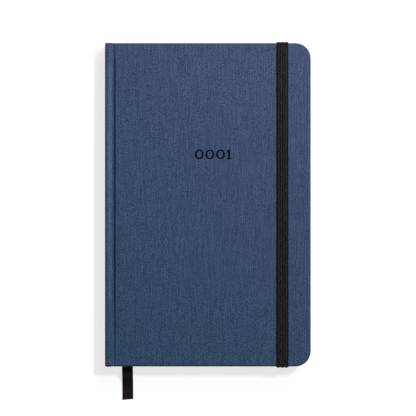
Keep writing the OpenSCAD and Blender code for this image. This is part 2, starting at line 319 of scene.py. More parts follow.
class Nodes:
    """A material's node tree, with short calls for the nodes used here."""

    def __init__(self, name, roughness, specular=0.3):
        self.material = bpy.data.materials.new(name)
        self.material.use_nodes = True
        self.tree = self.material.node_tree
        self.tree.nodes.clear()
        self.shader = self.add("ShaderNodeBsdfPrincipled")
        self.shader.inputs["Roughness"].default_value = roughness
        self.shader.inputs["Specular IOR Level"].default_value = specular
        out = self.add("ShaderNodeOutputMaterial")
        self.link(self.shader.outputs[0], out.inputs["Surface"])

    def add(self, kind):
        return self.tree.nodes.new(kind)

    def link(self, a, b):
        self.tree.links.new(a, b)

    def put(self, value, socket):
        if isinstance(value, bpy.types.NodeSocket):
            self.link(value, socket)
        else:
            socket.default_value = value

    def math(self, kind, a, b=0.0, clamp=False):
        node = self.add("ShaderNodeMath")
        node.operation = kind
        node.use_clamp = clamp
        self.put(a, node.inputs[0])
        self.put(b, node.inputs[1])
        return node.outputs[0]

    def ramp(self, value, low, high, out_low=0.0, out_high=1.0):
        node = self.add("ShaderNodeMapRange")
        node.interpolation_type = "SMOOTHSTEP"
        for socket, v in zip(node.inputs, (value, low, high, out_low, out_high)):
            self.put(v, socket)
        return node.outputs[0]

    def position(self):
        """The point in millimetres, in the object's own frame."""
        coords = self.add("ShaderNodeTexCoord")
        return self.scaled(coords.outputs["Object"], (1 / MM,) * 3)

    def cloth_uv(self):
        """The point along and across the cloth, in millimetres."""
        node = self.add("ShaderNodeUVMap")
        node.uv_map = "cloth_mm"
        return node.outputs[0]

    def scaled(self, vector, scale):
        node = self.add("ShaderNodeVectorMath")
        node.operation = "MULTIPLY"
        self.link(vector, node.inputs[0])
        node.inputs[1].default_value = scale
        return node.outputs[0]

    def joined(self, x, y, z):
        node = self.add("ShaderNodeCombineXYZ")
        for socket, value in zip(node.inputs, (x, y, z)):
            self.put(value, socket)
        return node.outputs[0]

    def cell_index(self, value, pitch, step=0):
        """The number of the cell that holds the value, or of one beside it."""
        return self.math("ADD", self.math("FLOOR", self.math("DIVIDE", value, pitch)), step)

    def cell_noise(self, column, row):
        """A random value for each square of a grid."""
        node = self.add("ShaderNodeTexWhiteNoise")
        node.noise_dimensions = "2D"
        self.link(self.joined(column, row, 0), node.inputs["Vector"])
        return self.math("SUBTRACT", node.outputs["Value"], 0.5)

    def total(self, parts):
        """The sum of values, each times its share."""
        found = self.math("MULTIPLY", *parts[0])
        for value, share in parts[1:]:
            found = self.math("ADD", found, self.math("MULTIPLY", value, share))
        return found

    def tinted(self, a, b):
        node = self.add("ShaderNodeMix")
        node.data_type = "RGBA"
        node.blend_type = "MULTIPLY"
        node.inputs["Factor"].default_value = 1.0
        self.put(a, node.inputs[6])
        self.put(b, node.inputs[7])
        return node.outputs[2]

    def split(self, vector):
        node = self.add("ShaderNodeSeparateXYZ")
        self.link(vector, node.inputs[0])
        return node.outputs

    def noise(self, vector, scale=1.0, detail=2.0, roughness=0.5):
        node = self.add("ShaderNodeTexNoise")
        self.link(vector, node.inputs["Vector"])
        node.inputs["Scale"].default_value = scale
        node.inputs["Detail"].default_value = detail
        node.inputs["Roughness"].default_value = roughness
        return node.outputs[0]

    def blend(self, factor, a, b):
        node = self.add("ShaderNodeMix")
        node.data_type = "RGBA"
        self.put(factor, node.inputs["Factor"])
        self.put(a, node.inputs[6])
        self.put(b, node.inputs[7])
        return node.outputs[2]

    def colour(self, value):
        self.put(value, self.shader.inputs["Base Color"])

    def bump(self, height, distance_mm, strength=1.0, after=None):
        node = self.add("ShaderNodeBump")
        node.inputs["Distance"].default_value = distance_mm * MM
        node.inputs["Strength"].default_value = strength
        self.link(height, node.inputs["Height"])
        if after is not None:
            self.link(after, node.inputs["Normal"])
        self.link(node.outputs[0], self.shader.inputs["Normal"])
        return node.outputs[0]


def weave_height(n, u, v, pitch):
    """Plain weave: rounded warp and weft threads that pass over and under each other."""
    su = n.math("SINE", n.math("MULTIPLY", u, math.pi / pitch))
    sv = n.math("SINE", n.math("MULTIPLY", v, math.pi / pitch))
    over = n.math("MULTIPLY_ADD", n.math("MULTIPLY", su, sv), 0.5)
    over.node.inputs[2].default_value = 0.5
    warp = n.math("MULTIPLY", n.math("ABSOLUTE", su), over)
    weft = n.math("MULTIPLY", n.math("ABSOLUTE", sv), n.math("SUBTRACT", 1.0, over))
    return n.math("ADD", warp, weft), over


def thread_tone(n, across, along, pitch, length, shift):
    """A value that differs from thread to thread and changes slowly along each one.
    A thick, pale thread pushes its neighbours down, so they are darker."""
    parts = []
    for step, share in ((0, 1.0), (-1, -CROWDING), (1, -CROWDING)):
        place = n.joined(n.math("MULTIPLY", n.cell_index(across, pitch, step), 3.71),
                         n.math("DIVIDE", along, length), shift)
        parts.append((n.math("SUBTRACT", n.noise(place, 1, 0), 0.5), share))
    return n.total(parts)


def slub_tone(n, u, v, pitch):
    """A value that differs from crossing to crossing, and stands out from the four round it."""
    parts = []
    for du, dv, share in ((0, 0, 1.0), (-1, 0, -CROWDING), (1, 0, -CROWDING), (0, -1, -CROWDING), (0, 1, -CROWDING)):
        parts.append((n.cell_noise(n.cell_index(u, pitch, du), n.cell_index(v, pitch, dv)), share))
    return n.total(parts)


def linen_material():
    n = Nodes("navy_linen", 0.5, 0.14)
    n.shader.inputs["Specular Tint"].default_value = (1.0, 0.72, 0.9, 1)
    uv = n.cloth_uv()
    # each thread wanders a little from its straight line
    drift = n.math("SUBTRACT", n.noise(n.scaled(uv, (0.35, 0.06, 0)), 1, 3), 0.5)
    lean = n.math("SUBTRACT", n.noise(n.scaled(uv, (0.05, 0.4, 7)), 1, 3), 0.5)
    flat_u, flat_v, _ = n.split(uv)
    u = n.math("ADD", flat_u, n.math("MULTIPLY", drift, 0.22))
    v = n.math("ADD", flat_v, n.math("MULTIPLY", lean, 0.22))
    height, over = weave_height(n, u, v, THREAD_PITCH)

    # short and long stretches of thicker, paler thread, mostly along the height of the book
    tone = n.total((
        (thread_tone(n, u, v, THREAD_PITCH, 3.5, 0), 0.47),
        (thread_tone(n, u, v, THREAD_PITCH, 16, 5), 0.87),
        (thread_tone(n, v, u, THREAD_PITCH, 2.5, 9), 0.25),
        (slub_tone(n, u, v, THREAD_PITCH), 1.2),
    ))
    shade = [n.math("EXPONENT", n.math("MULTIPLY", tone, contrast)) for contrast in (1.35, 1.0, 0.85)]
    dye_and_painted_light = n.tinted(LINEN_DYE, n.joined(*shade))
    # the colour leans to teal at the tail and the back and to violet at the head and the front, a painted sheen
    # gradient from the light, with small patches of dye
    patch = n.math("SUBTRACT", n.noise(n.scaled(uv, (0.22, 0.16, 9)), 1, 3), 0.5)
    hue = n.math("ADD", n.math("MULTIPLY", flat_v, 0.003), n.math("MULTIPLY", flat_u, 0.0038))
    hue = n.math("ADD", n.math("ADD", hue, n.math("MULTIPLY", patch, 0.6)), 0.215, clamp=True)
    dye_and_painted_light = n.tinted(dye_and_painted_light, n.blend(hue, (0.75, 1.02, 1.0, 1), (1.25, 0.98, 1.0, 1)))
    # the valleys between threads are darkened, a painted shade in the recesses of the weave; the cloth's point
    # attribute adds painted shade, rub and painted sheen
    valley = n.ramp(height, 0.1, 0.75, 0.45, 1.0)
    dye_and_painted_light = n.tinted(dye_and_painted_light, n.blend(valley, (0, 0, 0, 1), (1, 1, 1, 1)))
    wear_and_painted_light = n.add("ShaderNodeAttribute")
    wear_and_painted_light.attribute_name = "wear_and_painted_light"
    # painted shade: below 0 the attribute darkens the spine's outer corner and the rounding along the tail
    painted_shade = n.ramp(wear_and_painted_light.outputs["Fac"], -1, 0, 0.3, 1.0)
    dye_and_painted_light = n.tinted(dye_and_painted_light, n.blend(painted_shade, (0, 0, 0, 1), (1, 1, 1, 1)))
    # paler thread tops: real rub on the board edges, a painted sheen on the ridge by the spine and a painted highlight
    # on the fold at its foot
    rub_and_painted_sheen = n.math("MULTIPLY", n.math("MAXIMUM", wear_and_painted_light.outputs["Fac"], 0.0), n.math("ADD", n.math("MULTIPLY", tone, 0.08), 0.10))
    n.colour(n.blend(rub_and_painted_sheen, dye_and_painted_light, (0.30, 0.34, 0.42, 1)))
    n.bump(n.math("ADD", height, n.math("MULTIPLY", tone, 0.5)), 0.10, 0.7)
    return n.material


def paper_material(name, tint, ruled=False):
    n = Nodes(name, 0.75, 0.3)
    at = n.position()
    fibre = n.noise(n.scaled(at, (0.9, 0.9, 0.9)), 1, 5, 0.7)
    cloud = n.noise(n.scaled(at, (0.04, 0.05, 0.3)), 1, 3)
    base = n.blend(n.ramp(fibre, 0.3, 0.7), tuple(c * 0.955 for c in tint) + (1,), tuple(tint) + (1,))
    base = n.blend(n.math("MULTIPLY", n.ramp(cloud, 0.35, 0.7), 0.25), base, tuple(c * 0.93 for c in tint) + (1,))
    if ruled:
        base = ruling(n, at, base)
    n.colour(base)
    n.bump(fibre, 0.03, 0.5)
    return n.material


def line_mask(n, value, pitch, width, offset=0.0):
    """1 on lines that repeat every pitch mm."""
    phase = n.math("WRAP", n.math("SUBTRACT", value, offset), -pitch / 2)
    phase.node.inputs[2].default_value = pitch / 2
    return n.math("LESS_THAN", n.math("ABSOLUTE", phase), width / 2)


def ruling(n, at, base):
    """A plain log table on the flat faces of a page: rows, columns and a heading band, with no words."""
    x, y, _ = n.split(at)
    normal = n.add("ShaderNodeNewGeometry")
    facing = n.math("GREATER_THAN", n.math("ABSOLUTE", n.split(normal.outputs["Normal"])[2]), 0.8)
    inside = n.math("MULTIPLY", n.math("GREATER_THAN", x, PAGE_LOW[0] + 14), n.math("LESS_THAN", x, FORE - 12))
    tall = n.math("LESS_THAN", n.math("ABSOLUTE", y), HEAD - 16)
    mask = n.math("MULTIPLY", n.math("MULTIPLY", inside, tall), facing)
    rows = n.math("MULTIPLY", line_mask(n, y, 6.5, 0.22), n.math("LESS_THAN", y, HEAD - 28))
    columns = n.math("MAXIMUM", line_mask(n, x, 26.0, 0.25, 4.0), line_mask(n, y, 500, 0.4, HEAD - 28))
    frame_x = n.math("MAXIMUM", line_mask(n, x, 900, 0.4, PAGE_LOW[0] + 14.3), line_mask(n, x, 900, 0.4, FORE - 12.3))
    frame_y = n.math("MAXIMUM", line_mask(n, y, 900, 0.4, HEAD - 16.3), line_mask(n, y, 900, 0.4, 16.3 - HEAD))
    lines = n.math("MAXIMUM", n.math("MAXIMUM", rows, columns), n.math("MAXIMUM", frame_x, frame_y))
    return n.blend(n.math("MULTIPLY", n.math("MULTIPLY", lines, mask), 0.7), base, (0.36, 0.42, 0.5, 1))


def elastic_material():
    n = Nodes("black_elastic", 0.65, 0.06)
    uv = n.cloth_uv()
    u, v, _ = n.split(uv)
    # braided loops: short slanted stitches that lean the other way on every second rib
    phase = n.math("MULTIPLY", u, math.pi * RIBS / STRAP_W)
    rib = n.math("ABSOLUTE", n.math("SINE", phase))
    lean = n.math("MULTIPLY", n.math("COSINE", phase), 0.35)
    stitch = n.math("SINE", n.math("MULTIPLY", n.math("ADD", v, lean), 2 * math.pi / 0.62))
    fuzz = n.noise(n.scaled(uv, (4.0, 1.5, 0)), 1, 4, 0.7)
    knots = n.math("ADD", thread_tone(n, u, v, STRAP_W / RIBS / 2, 0.8, 3), 0.5)
    tone = n.math("ADD", n.math("MULTIPLY", n.ramp(stitch, -0.8, 0.9), 0.2), n.math("MULTIPLY", fuzz, 0.3))
    tone = n.math("ADD", tone, n.ramp(knots, 0.36, 0.66, 0.0, 0.75))
    # the grooves between the ribs are darkened, a painted shade
    tone = n.math("MULTIPLY", tone, n.ramp(rib, 0.25, 0.95, 0.2, 1.0))
    n.colour(n.blend(tone, (0.0010, 0.0010, 0.0011, 1), (0.0275, 0.0275, 0.0285, 1)))
    n.bump(n.math("ADD", n.math("MULTIPLY", stitch, 0.5), fuzz), 0.09, 0.8)
    return n.material


def satin_material():
    n = Nodes("black_satin", 0.42, 0.07)
    uv = n.cloth_uv()
    u, v, _ = n.split(uv)
    floats = n.noise(n.scaled(uv, (7.0, 0.35, 0)), 1, 3, 0.6)
    weft = n.math("SINE", n.math("MULTIPLY", v, 2 * math.pi / 0.3))
    edge = n.ramp(n.math("ABSOLUTE", u), 2.75, 3.2)
    base = n.blend(floats, (0.009, 0.0064, 0.009, 1), (0.0185, 0.0135, 0.0185, 1))
    n.colour(n.blend(n.math("MULTIPLY", edge, 0.5), base, (0.003, 0.0026, 0.003, 1)))
    rough = n.ramp(floats, 0.3, 0.7, 0.36, 0.5)
    n.put(rough, n.shader.inputs["Roughness"])
    n.bump(n.math("ADD", n.math("MULTIPLY", weft, 0.25), floats), 0.04, 0.6)
    return n.material


def ink_material():
    n = Nodes("pressed_black_foil", 0.6, 0.05)
    x, y, _ = n.split(n.position())
    height, _ = weave_height(n, x, y, 0.5)
    patch = n.noise(n.scaled(n.position(), (1.4, 1.4, 1.4)), 1, 4, 0.7)
    tone = n.math("MULTIPLY", n.ramp(height, 0.2, 0.7), n.ramp(patch, 0.2, 0.5))
    n.colour(n.blend(tone, (0.0035, 0.0045, 0.007, 1), (0.0012, 0.0014, 0.0018, 1)))
    n.bump(height, 0.07, 0.7)
    return n.material


def card_material(name, tint):
    n = Nodes(name, 0.9, 0.2)
    at = n.position()
    fibre = n.noise(n.scaled(at, (1.2, 0.5, 1.2)), 1, 6, 0.75)
    fleck = n.ramp(n.noise(n.scaled(at, (3, 1.5, 3)), 1, 2), 0.62, 0.7)
    base = n.blend(fibre, tuple(c * 0.7 for c in tint) + (1,), tuple(min(1, c * 1.2) for c in tint) + (1,))
    n.colour(n.blend(n.math("MULTIPLY", fleck, 0.4), base, tuple(c * 0.45 for c in tint) + (1,)))
    n.bump(fibre, 0.06, 0.7)
    return n.material


def thread_material(name, tint, pitch, depth):
    """Twisted or open-woven cotton, by position."""
    n = Nodes(name, 0.85, 0.2)
    x, y, z = n.split(n.position())
    height, _ = weave_height(n, n.math("ADD", z, x), y, pitch)
    fuzz = n.noise(n.position(), 2.5, 4, 0.7)
    # the hollows of the weave are darkened, a painted shade
    tone = n.math("MULTIPLY", n.ramp(height, 0.15, 0.7), n.ramp(fuzz, 0.2, 0.6, 0.6, 1.0))
    n.colour(n.blend(tone, tuple(c * 0.35 for c in tint) + (1,), tuple(tint) + (1,)))
    n.bump(height, depth, 0.8)
    return n.material


def band_material():
    """Head band: navy and white wraps round a cord."""
    n = Nodes("head_band_cotton", 0.7, 0.3)
    at = n.position()
    _, _, z = n.split(at)
    stripe = n.ramp(n.math("SINE", n.math("MULTIPLY", z, 2 * math.pi / 1.6)), -0.25, 0.25)
    fuzz = n.noise(n.scaled(at, (2, 2, 5)), 1, 4, 0.7)
    base = n.blend(stripe, (0.03, 0.05, 0.11, 1), (0.72, 0.71, 0.67, 1))
    n.colour(n.blend(n.math("MULTIPLY", fuzz, 0.3), base, (0.25, 0.25, 0.27, 1)))
    n.bump(fuzz, 0.05, 0.7)
    return n.material


LINEN = linen_material()
ENDPAPER = paper_material("endpaper", (0.71, 0.68, 0.61))
PAGES = paper_material("page_paper", (0.73, 0.71, 0.65), ruled=True)
ELASTIC = elastic_material()
SATIN = satin_material()
INK = ink_material()
BOARD = card_material("grey_board", (0.23, 0.215, 0.19))
KRAFT = card_material("kraft_lining", (0.36, 0.22, 0.11))
THREAD = thread_material("white_thread", (0.78, 0.77, 0.72), 0.12, 0.03)
GAUZE = thread_material("cotton_gauze", (0.72, 0.69, 0.6), 0.9, 0.12)
BAND = band_material()


# ---------------------------------------------------------------- the stamped number

STAMP_LOW, STAMP_HIGH = box_mm("cover_stamp")
NUMERAL_H = STAMP_HIGH[1] - STAMP_LOW[1]
STROKE = NUMERAL_H * 0.22
HAIRLINE = NUMERAL_H * 0.14
ZERO_W = NUMERAL_H * 0.93
ONE_W = NUMERAL_H * 0.5
NUMERAL_PITCH = (STAMP_HIGH[0] - STAMP_LOW[0] - ONE_W) / 3


def box_distance(x, y, x0, x1, y0, y1):
    dx = np.maximum(x0 - x, x - x1)
    dy = np.maximum(y0 - y, y - y1)
    return np.hypot(np.maximum(dx, 0), np.maximum(dy, 0)) + np.minimum(np.maximum(dx, dy), 0)


def stadium_distance(x, y, width, height):
    """Distance from the outline of a rounded upright slot centred on the origin, below 0 inside."""
    reach = (height - width) / 2
    return np.hypot(x, y - np.clip(y, -reach, reach)) - width / 2


def mark_distance(x, y):
    """Distance in mm from a point on the cover to the nearest stroke of the number, below 0 inside one."""
    x, y = x - STAMP_LOW[0], y - STAMP_LOW[1]
    found = np.full(np.shape(x), 9.0)
    for i in range(3):
        across, up = x - i * NUMERAL_PITCH - ZERO_W / 2, y - NUMERAL_H / 2
        outside = stadium_distance(across, up, ZERO_W, NUMERAL_H)
        hole = stadium_distance(across, up, ZERO_W - 2 * STROKE, NUMERAL_H - 2 * HAIRLINE)
        found = np.minimum(found, np.maximum(outside, -hole))
    x = x - 3 * NUMERAL_PITCH
    stem = (ONE_W - STROKE) / 2
    found = np.minimum(found, box_distance(x, y, stem, stem + STROKE, 0, NUMERAL_H))
    found = np.minimum(found, box_distance(x, y, 0, ONE_W, 0, HAIRLINE))
    slope = 0.22 * NUMERAL_H / stem
    flag = box_distance(x, y - slope * x, 0, stem + STROKE, 0.78 * NUMERAL_H - STROKE, 0.78 * NUMERAL_H)
    return np.minimum(found, flag)


# ---------------------------------------------------------------- the linen of the case

SEAM_X = BACK + 1.9
SEAM_IN_X = BACK + 2.7
INNER_DROP = 3.3
GROOVE_DROP = 0.5 * (TOP - JOINT_LOW[2])
RIDGE_END = 4.3
RIDGE_FALL = 0.6
GROOVE_IN = 1.4
GROOVE_RISE = 1.8
GROOVE_END_DEPTH = 0.1
HEAD_FADE = 10.0
TAIL_FADE = 24.0
BOARD_GAP = 0.5
SPINE_ARC = math.pi / 2 * SPINE_R
WINDOW_X = FORE - TURN_IN
WINDOW_Y = HEAD - TURN_IN
SQUEEZE_X = 54.0
SLOT_Y = HEAD - 6.8
CHANNEL = 0.97


def joint_drop(x):
    """How far the outside of the joint lies below the cover, from the ridge of the spine to the board."""
    ridge = RIDGE_FALL * np.clip((x - SEAM_X) / (RIDGE_END - SEAM_X + BACK), 0, 1) ** 1.5
    down = ease((x - (BACK + RIDGE_END)) / GROOVE_IN)
    up = ease((x - (BOARD_EDGE - BOARD_GAP - GROOVE_RISE)) / GROOVE_RISE)
    return (ridge + (GROOVE_DROP - ridge) * down) * (1 - up)


def groove_depth(y):
    """The joint is pressed deepest in its middle and runs out towards the head and, more slowly, the tail."""
    fade = HEAD_FADE if y > 0 else TAIL_FADE
    reach = max(0.0, HEAD - abs(y)) / fade
    return 1 - (1 - GROOVE_END_DEPTH) * math.exp(-reach ** 1.3)


def cover_stations(extra):
    """Lines across the case from the spine's ridge to the fore edge: outside x and drop, inside x and drop, edge radius."""
    rows = []
    joint = merged(spread(SEAM_X, BOARD_EDGE + 0.6, 0.2), 0.05)
    for x in joint:
        drop = float(joint_drop(x))
        share = (x - SEAM_X) / (BOARD_EDGE + 0.6 - SEAM_X)
        inside = SEAM_IN_X + (BOARD_EDGE + 0.6 - SEAM_IN_X) * share
        inner = INNER_DROP + (COVER_T - INNER_DROP) * float(ease((x - BOARD_EDGE + 0.5) / 1.1))
        rows.append((x, drop, inside, inner, min(EDGE_R, 0.48 * (inner - drop))))
    flat = spread(BOARD_EDGE + 1.1, SQUEEZE_X, 3.0) + spread(SQUEEZE_X, FORE - EDGE_R, 1.6) + list(extra)
    for x in merged(flat, 0.09):
        rows.append((x, 0.0, x, COVER_T, EDGE_R))
    return rows


def case_rows(extra):
    """Lines from tail to head, dense round the corners."""
    yc = HEAD - CORNER_R
    arc = [yc + (CORNER_R - EDGE_R) * math.sin(math.radians(a)) for a in range(0, 91, 7)]
    arc = arc[:-1] + [HEAD - EDGE_R]
    half = merged(spread(0, yc, 3.5)[:-1] + arc, 0.05)
    foot = [y - HEAD for y in spread(0.9, 4.9, 0.4)]
    return merged([-y for y in half] + half + foot + list(extra), 0.09)


def ripple(x, y):
    """The slow unevenness of glued cloth on board, in mm."""
    return (0.035 * np.sin(x / 17.0 + 0.7) * np.sin(y / 23.0 + 1.1)
            + 0.02 * np.sin(x / 6.1 + y / 13.0) + 0.015 * np.sin(y / 5.3 - x / 9.0 + 2.0))


def row_end(y):
    """How far a line at y runs before the corner's arc."""
    past = abs(y) - (HEAD - CORNER_R)
    r = CORNER_R - EDGE_R
    return FORE - CORNER_R + math.sqrt(max(0.0, r * r - max(0.0, past) ** 2))


def wrapped_sheet(stations, rows, base_u, drop_at, with_fore, with_tuck):
    """A cloth sheet over one face of the case, wrapped round its edges and turned in.
    stations are (x, z, inside x, inside z, edge radius, u)."""
    count, span = len(stations), len(rows)
    points, uv, wear_and_painted_light = [], [], []
    for i, (x, z, xi, zi, r, u) in enumerate(stations):
        for j, y in enumerate(rows):
            px, py = x, y
            if with_fore and x > SQUEEZE_X:
                px = SQUEEZE_X + (x - SQUEEZE_X) * (row_end(y) - SQUEEZE_X) / (FORE - EDGE_R - SQUEEZE_X)
            py = y * (HEAD - r) / (HEAD - EDGE_R)
            fold = tuck(px, py) if with_tuck and z > TOP / 2 and py < 5 - HEAD else 0.0
            points.append([px, py, z - drop_at(px, py, x) + 0.2 * fold])
            uv.append([base_u(i) + px - x, py])
            # the ridge's crown is paler, rub with a painted sheen that fades towards the tail; the fold is painted
            # paler, a painted highlight; the spine's outer corner is darkened, a painted shade
            wear_and_painted_light.append(max(ridge_sheen_and_rub(x) * math.exp(-((py - 23) / 75) ** 2), fold) - spine_painted_shade(x))
    faces = [(i * span + j, (i + 1) * span + j, (i + 1) * span + j + 1, i * span + j + 1)
             for i in range(count - 1) for j in range(span - 1)]

    last, outward = span - 1, []
    head = [(i, last, (0.0, 1.0)) for i in range(count)]
    tail = [(i, 0, (0.0, -1.0)) for i in range(count - 1, -1, -1)]
    if with_fore:
        side = []
        for j in range(last - 1, 0, -1):
            past = abs(rows[j]) - (HEAD - CORNER_R)
            up = min(1.0, max(0.0, past) / (CORNER_R - EDGE_R))
            side.append((count - 1, j, (math.sqrt(1 - up * up), math.copysign(up, rows[j]))))
        outward = [head + side + tail]
    else:
        outward = [head, tail]

    arcs = [math.radians(a) for a in (18, 36, 54, 72, 90)]
    for border in outward:
        ring = [i * span + j for i, j, _ in border]
        start = [np.array(points[k]) for k in ring]
        along = [0.0] * len(border)
        previous = list(start)
        profile = [("out", a) for a in arcs] + [("mid", 0)] + [("in", a) for a in arcs[::-1]] + [("in", 0.0)]
        profile += [("turn", m / 5) for m in range(1, 6)]
        for kind, a in profile:
            fresh = []
            for b, (i, j, e) in enumerate(border):
                x, z, xi, zi, r, u = stations[i]
                e3 = np.array([e[0], e[1], 0.0])
                edge = start[b] + e3 * r
                inner = edge + np.array([xi - x, 0.0, zi - start[b][2]])
                if with_fore and x > SQUEEZE_X:
                    inner[0] = edge[0]
                h = np.linalg.norm(inner - edge)
                rr = min(r, 0.49 * h)
                bulge = spine_bulge(x) * (1.0 if not with_fore or x < BOARD_EDGE else 0.0)
                if kind == "out":
                    f, off = rr / h * (1 - math.cos(a)), -r * (1 - math.sin(a))
                elif kind == "mid":
                    f, off = 0.5, 0.0
                else:
                    f, off = 1 - rr / h * (1 - math.cos(a if kind == "in" else 0)), -r * (1 - math.sin(a))
                if kind == "turn":
                    near = inner - e3 * r
                    goal = np.array([near[0], math.copysign(HEAD - TURN_IN, near[1]), near[2]])
                    if with_fore:
                        goal[0] = min(near[0], WINDOW_X)
                        goal[1] = max(-WINDOW_Y, min(WINDOW_Y, near[1]))
                    p = near + (goal - near) * a
                    if with_fore and min(near[0] - WINDOW_X, abs(near[1]) - WINDOW_Y) > 0:
                        # small pleats where the cloth is gathered round the corner
                        turn = math.atan2(abs(near[1]) - WINDOW_Y, near[0] - WINDOW_X)
                        p[2] += 0.045 * math.sin(turn * 22) * math.sin(math.pi * min(1, a * 1.1)) ** 0.5
                else:
                    p = edge + (inner - edge) * f + e3 * (off + bulge * math.sin(math.pi * f))
                along[b] += float(np.linalg.norm(p - previous[b]))
                previous[b] = p
                fresh.append(len(points))
                points.append(list(p))
                flat = uv[ring[b]]
                uv.append([flat[0] + e[0] * along[b], flat[1] + e[1] * along[b]])
                # the outer rounding of the boards is paler where rubbed; along the tail the outer rounding is darkened,
                # a painted shade on the edge turned from the light
                rubbed = math.sin(2 * a) if kind == "out" and x > BOARD_EDGE else 0.0
                wear_and_painted_light.append(0.22 * rubbed - 0.9 * ease(-1.4 * e[1] - 0.2) * (kind == "out"))
            before = ring if kind == "out" and a == arcs[0] else current
            faces += [(before[b], before[b + 1], fresh[b + 1], fresh[b]) for b in range(len(border) - 1)]
            current = fresh
    return points, faces, uv, wear_and_painted_light


def tuck(x, y):
    """A small slanting fold in the linen at the foot of the ridge, 0 to 1."""
    run = np.array([3.4, 3.0])
    here = np.array([x - BACK - 1.5, -HEAD + 3.9 - y])
    along = float(here @ run) / float(run @ run)
    away = float(here[0] * run[1] - here[1] * run[0]) / math.hypot(*run)
    return math.exp(-(away / 0.42) ** 2) * float(ease((along + 0.15) / 0.3) * ease((1.1 - along) / 0.3))


def ridge_sheen_and_rub(x):
    """The crown of the ridge beside the spine is paler: partly rub, partly a painted sheen where the ridge faces the
    light.
    """
    along = x - BACK
    return float(ease((along - 1.2) / 0.8) * ease((RIDGE_END + 0.5 - along) / 0.8))


def spine_painted_shade(x):
    """The spine's outer corner is darkened, a painted shade on the rounding turned from the light."""
    return 0.35 * float(1 - ease((x - BACK) / 1.1))


def spine_bulge(x):
    """The rounded caps of turned-in cloth at the ends of the spine stand a little proud."""
    return 0.28 * float(1 - ease((x - (BACK + 2.2)) / 2.6))


def cloth_object(name, made, flipped):
    points, faces, uv, wear_and_painted_light = made
    points, uv = np.array(points), np.array(uv)
    if flipped:
        points[:, 2] = TOP - points[:, 2]
        uv[:, 0] = -uv[:, 0]
        faces = [f[::-1] for f in faces]
    obj = add_object(name, points, faces, uv)
    attribute = obj.data.attributes.new("wear_and_painted_light", "FLOAT", "POINT")
    attribute.data.foreach_set("value", np.array(wear_and_painted_light, np.float32))
    return thicken(obj, CLOTH_T)


def cover_linen(name, flipped):
    spread_x, spread_y = [], []
    if flipped:
        for s in (-1, 1):
            wall = STRAP_X + s * (STRAP_W / 2 + 0.35)
            spread_x += spread(wall - 0.5, wall + 0.5, 0.2)
            spread_y += [s * y for y in spread(SLOT_Y - 0.9, SLOT_Y + 0.3, 0.2)]
    else:
        spread_x = spread(STAMP_LOW[0] - 0.8, STAMP_HIGH[0] + 0.8, 0.2)
        spread_y = spread(STAMP_LOW[1] - 0.8, STAMP_HIGH[1] + 0.8, 0.2)
    stations = [(x, TOP - drop, xi, TOP - inner, r, 0.0) for x, drop, xi, inner, r in cover_stations(spread_x)]

    def drop_at(px, py, x):
        if x < BOARD_EDGE + 1:
            return -float(joint_drop(x)) * (1 - groove_depth(py))
        calm = float(ease((px - BOARD_EDGE - 1) / 8)) * float(ease((HEAD - abs(py)) / 6)) * float(ease((FORE - px) / 6))
        found = (ripple(px, py + 40) + 0.07 if flipped else ripple(px, py)) * calm
        if flipped:
            across = float(ease((STRAP_W / 2 + 0.6 - abs(px - STRAP_X)) / 0.5))
            return found * (1 - across) + CHANNEL * across * float(ease((abs(py) - SLOT_Y + 0.6) / 0.5))
        pressed = float(ease((0.24 - mark_distance(px, py)) / 0.42)) if px < 20 else 0.0
        return found * (1 - pressed) + 0.2 * pressed

    lengths = [0.0]
    for a, b in zip(stations, stations[1:]):
        lengths.append(lengths[-1] + math.hypot(b[0] - a[0], b[1] - a[1]))
    begin = TOP / 2 - SPINE_R + SPINE_ARC + SEAM_X - BACK - SPINE_R
    rows = case_rows(spread_y)
    made = wrapped_sheet(stations, rows, lambda i: begin + lengths[i], drop_at, True, not flipped)
    return cloth_object(name, made, flipped)


def spine_linen():
    """From the back seam round the spine's outer face to the front seam."""
    half = [(SEAM_X, TOP)]
    half += [(BACK + SPINE_R - SPINE_R * math.sin(math.radians(a)), TOP - SPINE_R + SPINE_R * math.cos(math.radians(a)))
             for a in range(0, 91, 10)]
    half += [(BACK, z) for z in spread(TOP - SPINE_R, TOP / 2, 1.4)[1:]]
    front = half[::-1]
    path = [(x, TOP - z) for x, z in half][:-1] + front
    total = sum(math.hypot(b[0] - a[0], b[1] - a[1]) for a, b in zip(path, path[1:]))
    stations, lengths, done = [], [], -total / 2
    low, high = INNER_DROP, TOP - INNER_DROP
    for k, (x, z) in enumerate(path):
        if k:
            done += math.hypot(x - path[k - 1][0], z - path[k - 1][1])
        lengths.append(done)
        share = (done + total / 2) / total
        stations.append((x, z, SEAM_IN_X, low + (high - low) * share, EDGE_R, 0.0))
    made = wrapped_sheet(stations, case_rows([]), lambda i: lengths[i], lambda px, py, x: 0.0, False, True)
    return cloth_object("spine_linen", made, False)


front_linen = place(cover_linen("front_linen", False), LINEN, "linen", stands_for=["front_cloth", "front_joint_cloth"])
back_linen = place(cover_linen("back_linen", True), LINEN, "linen", stands_for=["back_cloth", "back_joint_cloth"])
place(spine_linen(), LINEN, "linen", "text_block", ["spine_cloth"])

for linen, cover in ((front_linen, "front_cover"), (back_linen, "back_cover")):
    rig.blend(linen, "text_block", cover, start=((BACK + RIDGE_END) * MM, 0, 0), end=((BOARD_EDGE + 0.1) * MM, 0, 0))


# ---------------------------------------------------------------- endpapers

